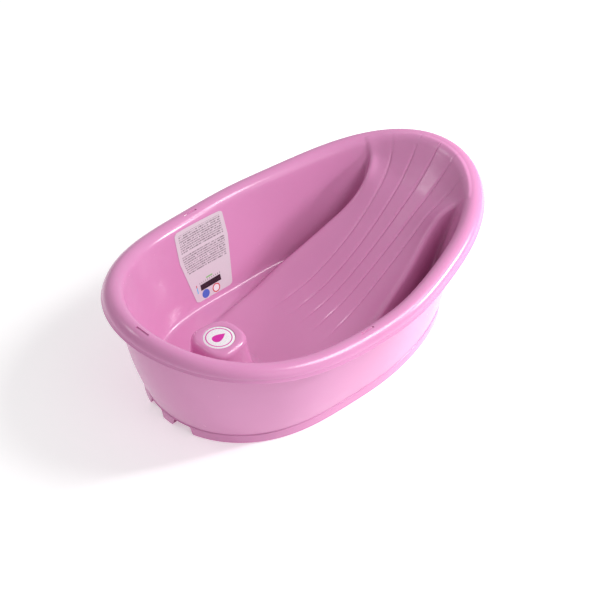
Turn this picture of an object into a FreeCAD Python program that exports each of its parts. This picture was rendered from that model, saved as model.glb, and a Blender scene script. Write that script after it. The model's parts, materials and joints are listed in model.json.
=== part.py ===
"""Baby bathtub: inner basin, outer body, badge, label, thermometer strip, drain plug and feet."""
import FreeCAD, Part
import math
import os

Vector = FreeCAD.Vector

# Overall sizes, millimetres.
RIM_LENGTH = 800.0            # nominal rim outline, head to foot
RIM_WIDTH = 497.0             # nominal rim outline, side to side
RIM_HEIGHT_MID = 193.1        # rim height at mid length
RIM_RISE = 51.1               # extra rim height at the head and foot ends
WALL = 3.0                    # moulding thickness
OUTLINE_POINTS = 32           # points that shape each closed outline

# Rim outline as distance from the centre, in cosines of the angle from the head.
RIM_TERMS = (315.0, -9.0, 76.55, 5.59, 9.04, 3.41, -0.59)
RIM_TERMS_LENGTH = 800.0
RIM_TERMS_WIDTH = 497.0

# Rim section: a crown arc with a flared skirt outside it.
CROWN_RADIUS = 20.0
CROWN_INSET = 15.4            # crown centre, inwards from the nominal outline
CROWN_DROP = 16.9             # crown centre, below the nominal rim height
CROWN_ANGLES = (20.0, 45.0, 67.5, 90.0, 112.5, 135.0, 155.0)
SKIRT_FLARE = 5.8             # lip, outwards from the nominal outline
SKIRT_DROP = 18.6             # lip, below the nominal rim height

# Basin floor.
FLOOR_CENTRE_X = -30.0
FLOOR_TERMS = (229.3, -5.2, 64.5, 1.2, 4.2)
FLOOR_TOP = 14.0

# Outer wall and base band.
BASE_CENTRE_X = -32.1
BASE_TERMS = (260.6, 9.45, 62.1, 4.92, 5.91, 2.71)
BASE_CLEARANCE = 1.2          # band bottom above the ground, taken up by the feet
BAND_HEIGHT = 21.3
BAND_STEP = 1.0
WALL_TOP_INSET = 22.0
WALL_TOP_DROP = 21.6
WALL_BULGE = 4.2
WALL_BULGE_HEAD = -4.0
FLANGE_WIDTH = 24.0
FLANGE_THICKNESS = 2.5
JOINT_GAP = 0.2               # outer wall top below the underside of the rim

# Drain arches at the foot end of the band.
ARCH_INNER = 11.5             # half width of the post between the arches
ARCH_OUTER = 57.0
ARCH_HEIGHT = 18.0
ARCH_SLANT = 5.0
ARCH_FILLET = 5.0

# Slots through the rim crown: x, y and angle of the long side.
SLOT_LENGTH = 30.0
SLOT_WIDTH = 3.8
SLOT_INSET = 18.0
SIDE_SLOT_X = -68.0

# Backrest: x, height on the centre line, half width to the crest, crest height.
BACKREST = (
    (-150.0, 12.0, 120.0, 12.5),
    (-94.0, 18.0, 124.0, 24.0),
    (-49.0, 22.0, 129.0, 28.0),
    (-6.0, 25.0, 130.0, 34.0),
    (32.0, 31.0, 130.0, 48.0),
    (68.0, 39.0, 125.0, 65.0),
    (104.0, 52.0, 118.0, 81.0),
    (141.0, 70.0, 112.0, 97.0),
    (177.0, 89.0, 106.0, 114.0),
    (211.0, 110.0, 98.0, 133.0),
    (242.0, 131.0, 94.0, 158.0),
    (268.0, 150.0, 95.0, 188.0),
    (299.0, 172.5, 116.0, 209.0),
    (340.0, 203.0, 120.0, 237.0),
    (372.0, 225.0, 120.0, 244.0),
    (410.0, 250.0, 120.0, 255.0),
)
BACKREST_POWER = 2.6          # how late the backrest turns up towards its crest
BACKREST_ACROSS = (-1.9, -1.45, -1.0, -0.8, -0.6, -0.4, -0.2, 0.0, 0.2, 0.4, 0.6, 0.8, 1.0, 1.45, 1.9)
BACKREST_SKIN = 3.7           # vertical thickness of the sloping skin
POCKET_DRAFT = 0.12           # sideways lean of the pocket side per unit height
POCKET_TIP = (309.0, 124.0, 211.0)   # head end of the crest: x, half width, height
POCKET_FOOT_X = -170.0

# Grooves in the backrest: half spacing at the x stations below.
GROOVE_X = (-20.0, 15.0, 50.0, 85.0, 120.0, 155.0, 190.0, 225.0, 260.0, 292.0, 325.0, 345.0)
GROOVE_PATHS = (
    (0.0,) * 12,
    (32.0, 30.5, 29.0, 28.0, 27.0, 27.0, 27.0, 28.5, 30.0, 33.0, 37.5, 41.0),
    (67.0, 65.0, 62.0, 59.5, 58.0, 57.5, 57.0, 57.5, 60.0, 66.0, 80.0, 94.0),
)
GROOVE_RADIUS = 3.0
GROOVE_DEPTH = 1.4

# Crotch post.
POST_X = -212.0
POST_TOP = 122.2
POST_SECTIONS = (             # height and outward spread from the plan near the top
    (10.0, 26.0),
    (16.0, 21.0),
    (24.0, 15.0),
    (45.0, 8.0),
    (75.0, 3.5),
    (104.0, 0.0),
    (117.0, -4.0),
    (122.2, -12.0),
)
POST_TERMS = (47.4, -1.3, 0.0, 1.7, -2.6)   # plan radius in cosines of the angle from the head

# Badge in the top of the post.
BADGE_X = -213.6
BADGE_DIAMETER = 58.0
BADGE_THICKNESS = 1.4
BADGE_TOP = 121.2
BADGE_CLEARANCE = 0.2

# Printed label on the +Y wall, as corners (x, z), and the strip on it.
LABEL_CORNERS = ((-132.0, 188.0), (-9.0, 178.0), (-8.0, 128.0), (-24.0, 26.0), (-112.0, 26.0), (-133.0, 128.0))
LABEL_THICKNESS = 0.4
LABEL_FILLET = 7.0
STRIP_CORNERS = ((-97.0, 56.0), (-47.0, 56.0), (-47.0, 44.0), (-97.0, 44.0))
STRIP_THICKNESS = 0.4

# Drain in the floor at the foot end, with its plug and seal.
DRAIN_X = -297.0
DRAIN_DIAMETER = 22.0
PLUG_CLEARANCE = 0.4
PLUG_FLANGE_DIAMETER = 29.0
PLUG_FLANGE_THICKNESS = 2.4
PLUG_DEPTH = 5.5
PLUG_TAB_RADIUS = 7.0
PLUG_TAB_THICKNESS = 3.0
PLUG_TAB_HOLE = 3.2
SEAL_THICKNESS = 1.0

# Push-in feet under the base flange: x and half spacing.
FOOT_PLACES = ((-232.0, 158.0), (188.0, 152.0))
FOOT_DIAMETER = 16.0
FOOT_STEM_DIAMETER = 5.0
FOOT_HEAD_DIAMETER = 8.0
FOOT_HEAD_HEIGHT = 2.0
FOOT_FIT = 0.05


def rim_height(x):
    """Height of the nominal rim line at a distance along the bath."""
    return RIM_HEIGHT_MID + RIM_RISE * (2.0 * x / RIM_LENGTH) ** 2


def polar_outline(terms, centre_x, scale_x, scale_y):
    """Closed outline whose radius is a sum of cosines of the angle."""
    points = []
    for index in range(OUTLINE_POINTS):
        angle = 2.0 * math.pi * index / OUTLINE_POINTS
        radius = sum(term * math.cos(order * angle) for order, term in enumerate(terms))
        x = centre_x * scale_x + radius * math.cos(angle) * scale_x
        y = radius * math.sin(angle) * scale_y
        points.append((x, y))
    return points


SCALE_X = RIM_LENGTH / RIM_TERMS_LENGTH
SCALE_Y = RIM_WIDTH / RIM_TERMS_WIDTH
RIM_OUTLINE = polar_outline(RIM_TERMS, 0.0, SCALE_X, SCALE_Y)
FLOOR_OUTLINE = polar_outline(FLOOR_TERMS, FLOOR_CENTRE_X, SCALE_X, SCALE_Y)
BASE_OUTLINE = polar_outline(BASE_TERMS, BASE_CENTRE_X, SCALE_X, SCALE_Y)


def grown(outline, distance):
    """Outline moved outwards along its normals by a distance."""
    count = len(outline)
    moved = []
    for index, (x, y) in enumerate(outline):
        before = outline[index - 1]
        after = outline[(index + 1) % count]
        along_x = after[0] - before[0]
        along_y = after[1] - before[1]
        size = math.hypot(along_x, along_y)
        moved.append((x + distance * along_y / size, y - distance * along_x / size))
    return moved


def ring(points):
    """Closed smooth wire through 3-D points."""
    curve = Part.BSplineCurve()
    steps = [float(index) for index in range(len(points) + 1)]
    curve.interpolate(Points=points, PeriodicFlag=True, Parameters=steps)
    return Part.Wire([curve.toShape()])


def flat_ring(outline, height):
    """Closed wire at one height."""
    return ring([Vector(x, y, height) for x, y in outline])


def rim_ring(inset, rise):
    """Closed wire that follows the rim, inset and raised from its nominal line."""
    outline = grown(RIM_OUTLINE, -inset)
    return ring([Vector(x, y, rim_height(x) + rise) for x, y in outline])


def crown_point(radius, angle):
    """Inset and rise of a point of the crown arc, angle measured from the inside."""
    turn = math.radians(angle)
    return CROWN_INSET + radius * math.cos(turn), radius * math.sin(turn) - CROWN_DROP


def loft(rings, ruled=True):
    """Solid through closed wires, closed by flat faces at both ends."""
    return Part.makeLoft(rings, True, ruled)


def make_shell():
    """Floor, inner wall, rim crown and skirt as one wall of even thickness."""
    inner_radius = CROWN_RADIUS - WALL
    rings = [flat_ring(grown(FLOOR_OUTLINE, WALL), FLOOR_TOP - WALL)]
    for angle in CROWN_ANGLES:
        rings.append(rim_ring(*crown_point(inner_radius, angle)))
    rings.append(rim_ring(WALL - SKIRT_FLARE, -SKIRT_DROP))
    rings.append(rim_ring(-SKIRT_FLARE, -SKIRT_DROP))
    for angle in reversed(CROWN_ANGLES):
        rings.append(rim_ring(*crown_point(CROWN_RADIUS, angle)))
    rings.append(flat_ring(FLOOR_OUTLINE, FLOOR_TOP))
    return loft(rings)


def make_cavity(outset, bottom):
    """Space inside the inner wall, grown outwards and taken down to a height."""
    inset, rise = crown_point(CROWN_RADIUS, CROWN_ANGLES[0])
    above = RIM_HEIGHT_MID + 2.0 * RIM_RISE
    rings = [
        flat_ring(grown(FLOOR_OUTLINE, outset), bottom),
        flat_ring(grown(FLOOR_OUTLINE, outset), FLOOR_TOP),
        rim_ring(inset - outset, rise),
        flat_ring(grown(RIM_OUTLINE, outset - inset), above),
    ]
    if bottom >= FLOOR_TOP:
        rings.pop(0)
    return loft(rings)


def backrest_surface(drop):
    """Trough-shaped surface of the backrest, lowered by a distance."""
    grid = []
    for x, middle, half_width, crest in BACKREST:
        row = []
        for across in BACKREST_ACROSS:
            share = min(abs(across), 1.0) ** BACKREST_POWER
            height = middle + (crest - middle) * share - drop
            row.append(Vector(x * SCALE_X, across * half_width * SCALE_Y, height))
        grid.append(row)
    knots_x, repeats_x = even_knots(len(BACKREST))
    knots_y, repeats_y = even_knots(len(BACKREST_ACROSS))
    surface = Part.BSplineSurface()
    surface.buildFromPolesMultsKnots(grid, repeats_x, repeats_y, knots_x, knots_y, False, False, 2, 2)
    return surface


def even_knots(count):
    """Evenly spaced knots of a quadratic curve with a number of control points."""
    knots = [float(index) for index in range(count - 1)]
    repeats = [3] + [1] * (count - 3) + [3]
    return knots, repeats


def backrest_block(drop):
    """Everything under the backrest surface."""
    return backrest_surface(drop).toShape().extrude(Vector(0, 0, -400))


def pocket_wire(side, height, shrink):
    """Plan outline of an elbow pocket at one height."""
    edge = []
    for x, _middle, half_width, crest in BACKREST:
        if x > POCKET_TIP[0]:
            break
        lean = POCKET_DRAFT * (crest - height)
        edge.append((x, half_width + lean + shrink))
    edge[0] = (POCKET_FOOT_X, edge[0][1])
    edge.append((POCKET_TIP[0] - shrink, POCKET_TIP[1] + POCKET_DRAFT * (POCKET_TIP[2] - height)))
    far = RIM_WIDTH
    points = [Vector(x * SCALE_X, side * y * SCALE_Y, height) for x, y in edge]
    curve = Part.BSplineCurve()
    steps = [float(index) for index in range(len(points))]
    curve.interpolate(Points=points, Parameters=steps)
    head_corner = Vector(points[-1].x + 60.0, side * far, height)
    foot_corner = Vector(points[0].x, side * far, height)
    lines = Part.makePolygon([points[-1], head_corner, foot_corner, points[0]])
    return Part.Wire([curve.toShape()] + lines.Edges)


def make_pocket(side, shrink):
    """Cutter for an elbow pocket beside the backrest."""
    low = pocket_wire(side, 0.0, shrink)
    high = pocket_wire(side, RIM_HEIGHT_MID + 2.0 * RIM_RISE, shrink)
    return loft([low, high])


def post_ring(spread, height):
    """Rounded plan section of the crotch post, spread more towards the seat."""
    points = []
    for index in range(OUTLINE_POINTS):
        angle = 2.0 * math.pi * index / OUTLINE_POINTS
        lean = 0.5 * math.cos(angle) if spread > 0.0 else 0.0
        radius = sum(term * math.cos(order * angle) for order, term in enumerate(POST_TERMS))
        radius += spread * (1.0 + lean)
        points.append(Vector(POST_X * SCALE_X + radius * math.cos(angle), radius * math.sin(angle), height))
    return ring(points)


def make_post(inset, drop, bottom):
    """Crotch post, shrunk by an inset and lowered at the top."""
    rings = []
    for height, spread in POST_SECTIONS:
        level = bottom if height == POST_SECTIONS[0][0] else height - drop
        rings.append(post_ring(spread - inset, level))
    return loft(rings, False)


def groove_path(offsets, side):
    """Points of a backrest groove, its round bottom just under the backrest surface."""
    face = backrest_surface(GROOVE_DEPTH - GROOVE_RADIUS).toShape()
    points = []
    for x, offset in zip(GROOVE_X, offsets):
        foot = Vector(x * SCALE_X, side * offset * SCALE_Y, -100.0)
        upright = Part.makeLine(foot, foot + Vector(0, 0, 600))
        points.append(face.distToShape(upright)[1][0][0])
    return points


def make_groove(offsets, side):
    """Round-bottomed cutter that runs down the backrest."""
    points = groove_path(offsets, side)
    curve = Part.BSplineCurve()
    curve.interpolate(points)
    start = points[0]
    circle = Part.makeCircle(GROOVE_RADIUS, start, points[1] - points[0])
    return Part.Wire([curve.toShape()]).makePipeShell([Part.Wire([circle])], True, False)


def make_slot(x, y, turned):
    """Cutter for a rounded slot through the rim crown."""
    length, width = (SLOT_WIDTH, SLOT_LENGTH) if turned else (SLOT_LENGTH, SLOT_WIDTH)
    corner = Vector(x - length / 2.0, y - width / 2.0, rim_height(x) - CROWN_DROP / 2.0)
    box = Part.makeBox(length, width, CROWN_RADIUS, corner)
    upright = [edge for edge in box.Edges if abs(edge.tangentAt(0).z) > 0.9]
    return box.makeFillet(0.48 * SLOT_WIDTH, upright)


def slot_places():
    """Centre of every rim slot, and whether its long side runs across the bath."""
    half_length = RIM_LENGTH / 2.0
    x = SIDE_SLOT_X * SCALE_X
    side_y = RIM_WIDTH / 2.0 - SLOT_INSET
    return [
        (SLOT_INSET - half_length, 0.0, True),
        (x, side_y, False),
        (x, -side_y, False),
    ]


def cylinder(x, y, bottom, top, diameter):
    """Upright cylinder between two heights."""
    return Part.makeCylinder(diameter / 2.0, top - bottom, Vector(x, y, bottom))


def make_basin():
    """Inner moulding: shell, backrest with pockets and grooves, crotch post."""
    overlap = WALL / 2.0
    backrest = backrest_block(0.0).common(make_cavity(overlap, FLOOR_TOP - overlap))
    hollow = backrest_block(BACKREST_SKIN).common(make_cavity(WALL + 1.0, FLOOR_TOP - 2.0 * WALL))
    for side in (1, -1):
        backrest = backrest.cut(make_pocket(side, 0.0))
        hollow = hollow.cut(make_pocket(side, -WALL))
    basin = make_shell().fuse([backrest, make_post(0.0, 0.0, FLOOR_TOP - overlap)])
    recess = cylinder(BADGE_X * SCALE_X, 0.0, BADGE_TOP - BADGE_THICKNESS, POST_TOP + WALL,
                      BADGE_DIAMETER + 2.0 * BADGE_CLEARANCE)
    bore = cylinder(DRAIN_X * SCALE_X, 0.0, 0.0, FLOOR_TOP + WALL, DRAIN_DIAMETER)
    cutters = [hollow, make_post(WALL, WALL + BADGE_THICKNESS, FLOOR_TOP - 2.0 * WALL), recess, bore]
    cutters += [make_slot(*place) for place in slot_places()]
    basin = basin.cut(cutters)
    for offsets in GROOVE_PATHS:
        for side in ((1,) if offsets[0] == 0.0 else (1, -1)):
            basin = basin.cut(make_groove(offsets, side))
    return largest_solid(basin)


def largest_solid(shape):
    """The biggest solid of a shape, without slivers left by cutting."""
    return max(shape.Solids, key=lambda solid: solid.Volume)


def wall_ring(share, outset):
    """Outer wall outline at a share of its height, from band top to under the rim."""
    top = grown(RIM_OUTLINE, -WALL_TOP_INSET)
    points = []
    for index, (low, high) in enumerate(zip(BASE_OUTLINE, top)):
        angle = 2.0 * math.pi * index / OUTLINE_POINTS
        bulge = 4.0 * share * (1.0 - share) * (WALL_BULGE + WALL_BULGE_HEAD * math.cos(angle))
        x = low[0] + share * (high[0] - low[0]) + bulge * math.cos(angle)
        y = low[1] + share * (high[1] - low[1]) + bulge * math.sin(angle)
        z = BAND_HEIGHT + share * (rim_height(high[0]) - WALL_TOP_DROP - BAND_HEIGHT)
        points.append((x, y, z))
    moved = grown([(x, y) for x, y, _z in points], outset)
    return ring([Vector(x, y, point[2]) for (x, y), point in zip(moved, points)])


def crown_underside(inset):
    """Height of the underside of the crown below the nominal rim, at an inset."""
    offsets = [crown_point(CROWN_RADIUS - WALL, angle) for angle in CROWN_ANGLES]
    for (near, near_rise), (far, far_rise) in zip(offsets, offsets[1:]):
        if far <= inset <= near:
            share = (inset - far) / (near - far)
            return far_rise + share * (near_rise - far_rise)
    return offsets[0][1]


def make_outer_body():
    """Outer wall with its base band, base flange and drain arches."""
    bottom = BASE_CLEARANCE
    shares = (0.0, 0.25, 0.5, 0.75, 1.0)
    outer_top = WALL_TOP_INSET - 0.5
    inner_top = outer_top + WALL
    rings = [
        flat_ring(BASE_OUTLINE, bottom),
        flat_ring(BASE_OUTLINE, BAND_HEIGHT - BAND_STEP),
    ]
    rings += [wall_ring(share, -BAND_STEP * (1.0 - share)) for share in shares]
    rings.append(rim_ring(outer_top, crown_underside(outer_top) - JOINT_GAP))
    rings.append(rim_ring(inner_top, crown_underside(inner_top) - JOINT_GAP))
    rings += [wall_ring(share, -WALL - BAND_STEP * (1.0 - share)) for share in reversed(shares)]
    rings.append(flat_ring(grown(BASE_OUTLINE, -WALL), BAND_HEIGHT - BAND_STEP - WALL))
    rings.append(flat_ring(grown(BASE_OUTLINE, -WALL), bottom + FLANGE_THICKNESS))
    body = loft(rings)
    opening = loft([
        flat_ring(grown(BASE_OUTLINE, -FLANGE_WIDTH), bottom - WALL),
        flat_ring(grown(BASE_OUTLINE, -FLANGE_WIDTH), bottom + 2.0 * WALL),
    ])
    cutters = [opening] + [make_arch(side) for side in (1, -1)]
    cutters += [cylinder(x, y, 0.0, bottom + 2.0 * WALL, FOOT_STEM_DIAMETER) for x, y in foot_places()]
    return largest_solid(body.cut(cutters))


def make_arch(side):
    """Cutter for one drain arch at the foot end of the band."""
    foot_x = min(x for x, _y in BASE_OUTLINE)
    top = BASE_CLEARANCE + ARCH_HEIGHT
    low = -2.0 * WALL
    slope = ARCH_SLANT / ARCH_HEIGHT
    drop = BASE_CLEARANCE - low
    corners = [
        (ARCH_INNER - slope * drop, low),
        (ARCH_OUTER + slope * drop, low),
        (ARCH_OUTER - ARCH_SLANT, top),
        (ARCH_INNER + ARCH_SLANT, top),
    ]
    points = [Vector(foot_x - 2.0 * WALL, side * y, z) for y, z in corners]
    face = Part.Face(Part.makePolygon(points + points[:1]))
    prism = face.extrude(Vector(FLANGE_WIDTH + 6.0 * WALL, 0, 0))
    upper = []
    for edge in prism.Edges:
        middle = edge.CenterOfMass
        if abs(edge.tangentAt(0).x) > 0.9 and middle.z > top - 1.0:
            upper.append(edge)
    return prism.makeFillet(ARCH_FILLET, upper)


def foot_places():
    """Centre of every foot."""
    return [(x * SCALE_X, side * y * SCALE_Y) for x, y in FOOT_PLACES for side in (1, -1)]


def make_foot(x, y):
    """Rubber foot: pad, stem through the flange and retaining head."""
    flange_top = BASE_CLEARANCE + FLANGE_THICKNESS
    pad = cylinder(x, y, 0.0, BASE_CLEARANCE, FOOT_DIAMETER)
    stem = cylinder(x, y, BASE_CLEARANCE, flange_top, FOOT_STEM_DIAMETER - 2.0 * FOOT_FIT)
    head = cylinder(x, y, flange_top, flange_top + FOOT_HEAD_HEIGHT, FOOT_HEAD_DIAMETER)
    return pad.fuse([stem, head]).removeSplitter()


def make_badge():
    """Round printed disc sunk in the top of the post."""
    disc = cylinder(BADGE_X * SCALE_X, 0.0, BADGE_TOP - BADGE_THICKNESS, BADGE_TOP, BADGE_DIAMETER)
    upper = [edge for edge in disc.Edges if edge.BoundBox.ZMin > BADGE_TOP - 0.01]
    return disc.makeFillet(0.5, upper)


def wall_film(corners, start, thickness, fillet):
    """Thin film that follows the +Y wall inside a plan of corners."""
    points = [Vector(x * SCALE_X, RIM_WIDTH * 0.15, z) for x, z in corners]
    face = Part.Face(Part.makePolygon(points + points[:1]))
    prism = face.extrude(Vector(0, RIM_WIDTH * 0.4, 0))
    across = [edge for edge in prism.Edges if abs(edge.tangentAt(0).y) > 0.9]
    prism = prism.makeFillet(fillet, across)
    outer = make_cavity(-start, FLOOR_TOP)
    inner = make_cavity(-start - thickness, FLOOR_TOP - WALL)
    return largest_solid(prism.common(outer).cut(inner))


def make_plug():
    """Stopper with a flange and a pull tab with a finger hole."""
    x = DRAIN_X * SCALE_X
    low = FLOOR_TOP - PLUG_DEPTH
    flange_low = FLOOR_TOP + SEAL_THICKNESS
    flange_top = flange_low + PLUG_FLANGE_THICKNESS
    radius = DRAIN_DIAMETER / 2.0 - PLUG_CLEARANCE
    spigot = Part.makeCone(radius - 1.0, radius, flange_low - low, Vector(x, 0.0, low))
    flange = cylinder(x, 0.0, flange_low, flange_top, PLUG_FLANGE_DIAMETER)
    start = Vector(x, -PLUG_TAB_THICKNESS / 2.0, flange_top + PLUG_TAB_RADIUS - 1.5)
    tab = Part.makeCylinder(PLUG_TAB_RADIUS, PLUG_TAB_THICKNESS, start, Vector(0, 1, 0))
    hole = Part.makeCylinder(PLUG_TAB_HOLE, PLUG_TAB_THICKNESS, start, Vector(0, 1, 0))
    above = Part.makeBox(60.0, 60.0, 40.0, Vector(x - 30.0, -30.0, flange_low + 0.5))
    return spigot.fuse([flange, tab.common(above)]).cut(hole).removeSplitter()


def make_seal():
    """Soft washer between the plug flange and the floor."""
    x = DRAIN_X * SCALE_X
    top = FLOOR_TOP + SEAL_THICKNESS
    washer = cylinder(x, 0.0, FLOOR_TOP, top, PLUG_FLANGE_DIAMETER)
    return washer.cut(cylinder(x, 0.0, FLOOR_TOP - 1.0, top + 1.0, DRAIN_DIAMETER))


def main():
    """Make every piece and write each one as a STEP file."""
    os.makedirs("parts", exist_ok=True)
    pieces = {
        "basin": make_basin(),
        "outer_body": make_outer_body(),
        "badge": make_badge(),
        "info_label": wall_film(LABEL_CORNERS, 0.0, LABEL_THICKNESS, LABEL_FILLET),
        "thermometer_strip": wall_film(STRIP_CORNERS, LABEL_THICKNESS, STRIP_THICKNESS, 1.5),
        "drain_plug": make_plug(),
        "plug_seal": make_seal(),
    }
    for number, (x, y) in enumerate(foot_places(), start=1):
        pieces[f"foot_{number}"] = make_foot(x, y)
    for name, shape in pieces.items():
        shape.exportStep(f"parts/{name}.step")


main()
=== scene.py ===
"""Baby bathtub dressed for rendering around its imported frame: mouldings, print, lights and camera."""
from __future__ import annotations

import json
import logging
import math
from dataclasses import dataclass, field
from enum import Enum

import bmesh
import bpy
import numpy as np
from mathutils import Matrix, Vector

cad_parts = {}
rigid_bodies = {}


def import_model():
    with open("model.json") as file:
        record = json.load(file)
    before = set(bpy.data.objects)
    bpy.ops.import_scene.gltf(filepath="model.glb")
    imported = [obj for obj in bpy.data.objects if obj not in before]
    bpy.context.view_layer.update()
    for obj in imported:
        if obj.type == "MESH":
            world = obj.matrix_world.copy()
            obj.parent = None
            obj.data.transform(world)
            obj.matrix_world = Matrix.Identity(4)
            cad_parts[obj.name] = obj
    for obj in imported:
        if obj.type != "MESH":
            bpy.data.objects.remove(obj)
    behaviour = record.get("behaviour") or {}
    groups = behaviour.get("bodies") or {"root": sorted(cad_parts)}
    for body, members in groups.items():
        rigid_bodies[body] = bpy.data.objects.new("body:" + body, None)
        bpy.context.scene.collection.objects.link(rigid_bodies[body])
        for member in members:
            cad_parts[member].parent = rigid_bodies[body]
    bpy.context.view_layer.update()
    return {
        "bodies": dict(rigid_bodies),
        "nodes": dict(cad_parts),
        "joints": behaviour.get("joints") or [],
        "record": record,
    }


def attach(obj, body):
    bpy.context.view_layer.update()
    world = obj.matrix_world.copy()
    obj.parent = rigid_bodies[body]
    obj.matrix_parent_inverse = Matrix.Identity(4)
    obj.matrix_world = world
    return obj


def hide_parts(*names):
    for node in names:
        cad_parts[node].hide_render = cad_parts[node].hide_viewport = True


LOG = logging.getLogger("baby_bathtub")
MM = 0.001
TUB = "tub"
Array = np.ndarray
Triple = tuple[float, float, float]


class Side(Enum):
    """The two long sides of the bath."""

    LABEL = 1.0
    PLAIN = -1.0


# --------------------------------------------------------------------------
# Curves and distances
# --------------------------------------------------------------------------


@dataclass(frozen=True)
class Outline:
    """Closed outline, symmetric about the X axis, whose radius is a sum of cosines.

    Attributes:
        terms: cosine terms of the radius, millimetres.
        centre_x: where the angle is measured from.
    """

    terms: tuple[float, ...]
    centre_x: float

    def points(self, angles: Array, inset: float = 0.0) -> Array:
        """Points of the outline, moved inwards along its normals.

        Args:
            angles: angles from the head end, radians.
            inset: distance inwards, millimetres.

        Returns:
            One row of x, y for each angle.
        """
        radius = sum(term * np.cos(order * angles) for order, term in enumerate(self.terms))
        slope = sum(-order * term * np.sin(order * angles) for order, term in enumerate(self.terms))
        x = self.centre_x + radius * np.cos(angles)
        y = radius * np.sin(angles)
        along_x = slope * np.cos(angles) - radius * np.sin(angles)
        along_y = slope * np.sin(angles) + radius * np.cos(angles)
        size = np.hypot(along_x, along_y)
        return np.stack([x - inset * along_y / size, y + inset * along_x / size], -1)

    def even_angles(self, count: int, inset: float) -> Array:
        """Angles from head to foot that are evenly spaced along the inset outline.

        Args:
            count: number of angles, ends included.
            inset: distance inwards, millimetres.

        Returns:
            The angles, rising from 0 to pi.
        """
        dense = np.linspace(0.0, math.pi, 4000)
        path = self.points(dense, inset)
        run = np.concatenate([[0.0], np.cumsum(np.hypot(*np.diff(path, axis=0).T))])
        return np.interp(np.linspace(0.0, run[-1], count), run, dense)

    def inward(self, x: Array, y: Array, samples: int = 1400) -> tuple[Array, Array]:
        """Distance inwards from the outline, and the x of the nearest outline point.

        Args:
            x: plan positions, millimetres.
            y: plan positions, millimetres.
            samples: how finely the half outline is sampled.

        Returns:
            Distances, positive inside, and nearest x.
        """
        angles = np.linspace(-0.05, math.pi + 0.05, samples)
        path = self.points(angles)
        step = np.gradient(path, axis=0)
        step /= np.hypot(step[:, 0], step[:, 1])[:, None]
        distance = np.empty(x.shape)
        nearest = np.empty(x.shape)
        for start in range(0, len(x), 4000):
            part = slice(start, start + 4000)
            gap_x = x[part, None] - path[None, :, 0]
            gap_y = y[part, None] - path[None, :, 1]
            index = np.argmin(gap_x * gap_x + gap_y * gap_y, axis=1)
            rows = np.arange(len(index))
            dx = gap_x[rows, index]
            dy = gap_y[rows, index]
            along = step[index]
            distance[part] = dy * along[:, 0] - dx * along[:, 1]
            nearest[part] = path[index, 0] + (dx * along[:, 0] + dy * along[:, 1]) * along[:, 0]
        return distance, nearest


def smooth_table(stations: Array, values: Array, at: Array) -> Array:
    """Reads a table along a smooth curve that has its rows as control points.

    Args:
        stations: rising positions of the rows.
        values: value of each row.
        at: where to read.

    Returns:
        The smoothed values.
    """
    points = np.stack([stations, values], -1)
    points = np.vstack([2 * points[0] - points[1], points, 2 * points[-1] - points[-2]])
    share = np.linspace(0.0, 1.0, 40, endpoint=False)[:, None]
    curve = []
    for index in range(len(points) - 3):
        a, b, c, d = points[index:index + 4]
        weight_a = (1 - share) ** 3 / 6
        weight_b = (3 * share ** 3 - 6 * share ** 2 + 4) / 6
        weight_c = (-3 * share ** 3 + 3 * share ** 2 + 3 * share + 1) / 6
        weight_d = share ** 3 / 6
        curve.append(weight_a * a + weight_b * b + weight_c * c + weight_d * d)
    curve.append(points[-2][None])
    dense = np.vstack(curve)
    return np.interp(at, dense[:, 0], dense[:, 1])


def blend_low(a: Array, b: Array, radius: float) -> Array:
    """Lower of two distances with a fillet where they meet."""
    meet = np.maximum(radius - np.abs(a - b), 0.0) / radius
    return np.minimum(a, b) - meet * meet * radius / 4.0


def blend_high(a: Array, b: Array, radius: float) -> Array:
    """Higher of two distances with a rounding where they meet."""
    return -blend_low(-a, -b, radius)


def ease(value: Array) -> Array:
    """Smooth step from 0 to 1."""
    limited = np.clip(value, 0.0, 1.0)
    return limited * limited * (3.0 - 2.0 * limited)


# --------------------------------------------------------------------------
# Meshes
# --------------------------------------------------------------------------


def make_object(name: str, points: Array, faces: list, smooth: bool = True) -> bpy.types.Object:
    """Makes a mesh object from points in millimetres.

    Args:
        name: object and mesh name.
        points: one row of x, y, z each, millimetres.
        faces: tuples of point indices.
        smooth: whether its faces are shaded smooth.

    Returns:
        The object, linked to the scene.
    """
    mesh = bpy.data.meshes.new(name)
    mesh.from_pydata((np.asarray(points) * MM).tolist(), [], faces)
    mesh.polygons.foreach_set("use_smooth", [smooth] * len(mesh.polygons))
    mesh.update()
    made = bpy.data.objects.new(name, mesh)
    bpy.context.scene.collection.objects.link(made)
    return made


def face_outwards(made: bpy.types.Object) -> None:
    """Turns every face of a closed mesh outwards."""
    work = bmesh.new()
    work.from_mesh(made.data)
    bmesh.ops.remove_doubles(work, verts=work.verts, dist=1e-7)
    bmesh.ops.recalc_face_normals(work, faces=work.faces)
    work.to_mesh(made.data)
    work.free()
    made.data.update()


def sharpen(made: bpy.types.Object, degrees: float) -> None:
    """Marks edges sharper than an angle, so that shading stays crisp there."""
    made.data.set_sharp_from_angle(angle=math.radians(degrees))


def cut_away(made: bpy.types.Object, cutters: list[bpy.types.Object]) -> None:
    """Cuts closed shapes out of an object and deletes them.

    Args:
        made: the object to cut.
        cutters: closed shapes, removed afterwards.
    """
    tool = cutters[0]
    work = bmesh.new()
    for cutter in cutters:
        work.from_mesh(cutter.data)
    work.to_mesh(tool.data)
    work.free()
    cut = made.modifiers.new("cut", "BOOLEAN")
    cut.operation = "DIFFERENCE"
    cut.solver = "MANIFOLD"
    cut.object = tool
    graph = bpy.context.evaluated_depsgraph_get()
    result = bpy.data.meshes.new_from_object(made.evaluated_get(graph))
    made.modifiers.clear()
    old = made.data
    made.data = result
    bpy.data.meshes.remove(old)
    for cutter in cutters:
        bpy.data.objects.remove(cutter)


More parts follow.
